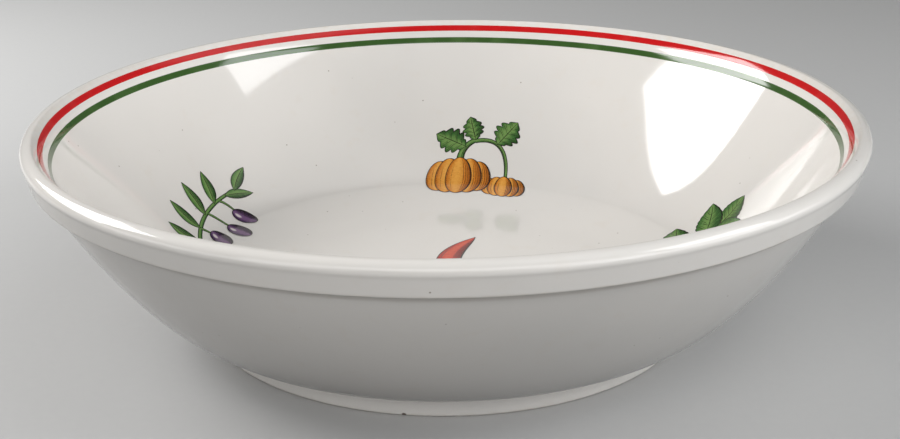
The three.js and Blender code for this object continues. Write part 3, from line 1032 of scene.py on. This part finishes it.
# %% Chillies
def pepper(length, width, bend):
    """Round at its shoulder, then a bent horn that runs to a point."""
    half = width / 2
    tip = (bend, length)
    right = curve([(half, 0), (half, 0.5 * length), (0.5 * bend + half, 0.75 * length), tip], 44)
    left = curve([(-half, 0), (-half, 0.55 * length), (0.3 * bend, 0.8 * length), tip], 44)
    turn = np.radians(np.linspace(0, 84, 12))[:, None]
    end = np.hstack([half * np.sin(turn), -0.15 * width * np.cos(turn)])
    return Form(np.vstack([end * [-1, 1], left]), np.vstack([end, right]))


chance = random.Random(55)
stalks, ink = Sheet(), Sheet()
order = 0
for number in range(3):
    turn = 120 * number
    root = along(turn + 90, 11)
    horn = pepper(36, 11, 13).placed(*root, turn)
    fruit = Sheet()
    fruit.fill(horn, level(order))
    outline(ink, horn, order, 0.5)
    hatch(ink, horn, order, chance, (0.66, 0.96), (0.06, 0.96), 6, 0.24)
    hatch(ink, horn, order, chance, (0.06, 0.16), (0.16, 0.80), 2, 0.2)
    node = f"chilli_print_{number + 1}"
    fire(fruit, f"chilli_{number + 1}", chilli_red, None, node)
for number in range(3):
    turn = 120 * number
    root = along(turn + 90, 11)
    stalk = stem([(0, 0), along(turn + 110, 6), root], 2.6, 0.1)
    crown = oval(13, 6).placed(*root, turn)
    for form, thick in ((crown, 0.48), (stalk, 0.42)):
        order += 1
        stalks.fill(form, level(order))
        outline(ink, form, order, thick)
    hatch(ink, crown, order - 1, chance, (0.1, 0.9), (0.15, 0.9), 9, 0.2)
fire(stalks, "chilli_stalks", leaf_green, None, "chilli_stalk_print")
fire(ink, "chilli_ink", ink_line)
print("chilli print:", order, "shapes,", len(ink.faces), "ink faces")

# %% [markdown]
# ## The studio
# A glossy bowl shows its lamps as shapes, so the lamps are the picture. Two soft boxes face each
# other across the bowl, a little above it. Each is seen in the wall opposite as a pale patch with
# straight sides. A long, weak box over the camera lights the outside. The room is dim, so that the
# bands keep their colours, with paler low walls towards the camera, where no mirror in the bowl
# shows them. A pale sheet of paper is the floor. It throws no light up at the bowl, so the foot
# lies in shade.

# %% Floor
PAPER = (0.57, 0.57, 0.566, 1)
PAPER_GRAIN = (0.55, 0.55, 0.55, 1)
UNLIT = (0.03, 0.03, 0.03, 1)
REACH, CORNERS = 4, 96
floor_mesh = bpy.data.meshes.new("floor")
turn = np.linspace(0, 2 * np.pi, CORNERS, endpoint=False)
rim = [(REACH * math.cos(a), REACH * math.sin(a), 0.0) for a in turn]
floor_mesh.from_pydata(rim, [], [tuple(range(CORNERS))])
floor = bpy.data.objects.new("floor", floor_mesh)
scene.collection.objects.link(floor)
paper, wire = begin("pale_paper")
place = wire.node("TexCoord", out="Object")
tint = mixed(PAPER, PAPER_GRAIN, noise(place, 0.004, 3.0))
seen = wire.node("LightPath", out="Is Camera Ray") + wire.node("LightPath", out="Is Glossy Ray")
seen = seen + wire.node("LightPath", out="Is Transmission Ray")
tint = mixed(UNLIT, tint, seen)
finish(paper, {"Roughness": 0.9, "Specular IOR Level": 0.0}, Base_Color=tint)
floor_mesh.materials.append(paper)

# %% Lamps
WARM_LIGHT, COOL_LIGHT = (1.0, 0.995, 0.985), (0.965, 0.985, 1.0)
AIM = Vector((0, 0, 0.06))


def soft_box(name, around, up, distance, width, height, radiance, tint=WARM_LIGHT):
    """A lamp that faces the bowl. Around is measured from the back, towards the right."""
    lamp = bpy.data.lights.new(name, "AREA")
    lamp.shape = "RECTANGLE"
    lamp.size = width
    lamp.size_y = height
    lamp.energy = radiance * math.pi * width * height
    lamp.color = tint
    holder = bpy.data.objects.new(name, lamp)
    scene.collection.objects.link(holder)
    a, e = math.radians(around), math.radians(up)
    way = Vector((math.sin(a) * math.cos(e), math.cos(a) * math.cos(e), math.sin(e)))
    holder.location = AIM + distance * way
    holder.rotation_euler = way.to_track_quat("Z", "Y").to_euler()


soft_box("left_box", -70, 30.6, 1.0, 0.64, 0.45, 9.3)
soft_box("right_box", 110, 31, 1.0, 0.53, 0.42, 4.8, tint=COOL_LIGHT)
soft_box("front_box", 180, 27, 0.84, 1.70, 0.36, 1.8)

# %% The room: dim, with paler walls towards the camera and a paler ceiling
DIM = (0.08, 0.08, 0.08, 1)
RIGHT_WALL = (3.5, 3.55, 3.6, 1)
LEFT_WALL = (2.1, 2.1, 2.09, 1)
CEILING = (0.75, 0.75, 0.74, 1)
room = bpy.data.worlds.new("room")
scene.world = room
room.use_nodes = True
wire = Wire(room.node_tree)
direction = wire.node("TexCoord", out="Generated")
to_right = wire.node("SeparateXYZ", {}, {0: direction}, out="X")
to_back = wire.node("SeparateXYZ", {}, {0: direction}, out="Y")
above = wire.node("SeparateXYZ", {}, {0: direction}, out="Z")
near_floor = 1 - rise(above, 0.20, 0.32)
front_right = to_right * 0.9 - to_back * 0.44
front_left = 0 - to_right * 0.9 - to_back * 0.44
overhead = above * 0.87 + to_right * 0.5
light = mixed(DIM, RIGHT_WALL, rise(front_right, 0.65, 0.97) * near_floor)
light = mixed(light, LEFT_WALL, rise(front_left, 0.65, 0.97) * near_floor)
light = mixed(light, CEILING, rise(overhead, 0.84, 0.96))
room.node_tree.links.new(light.socket, room.node_tree.nodes["Background"].inputs["Color"])
print("room:", len(room.node_tree.nodes), "nodes")
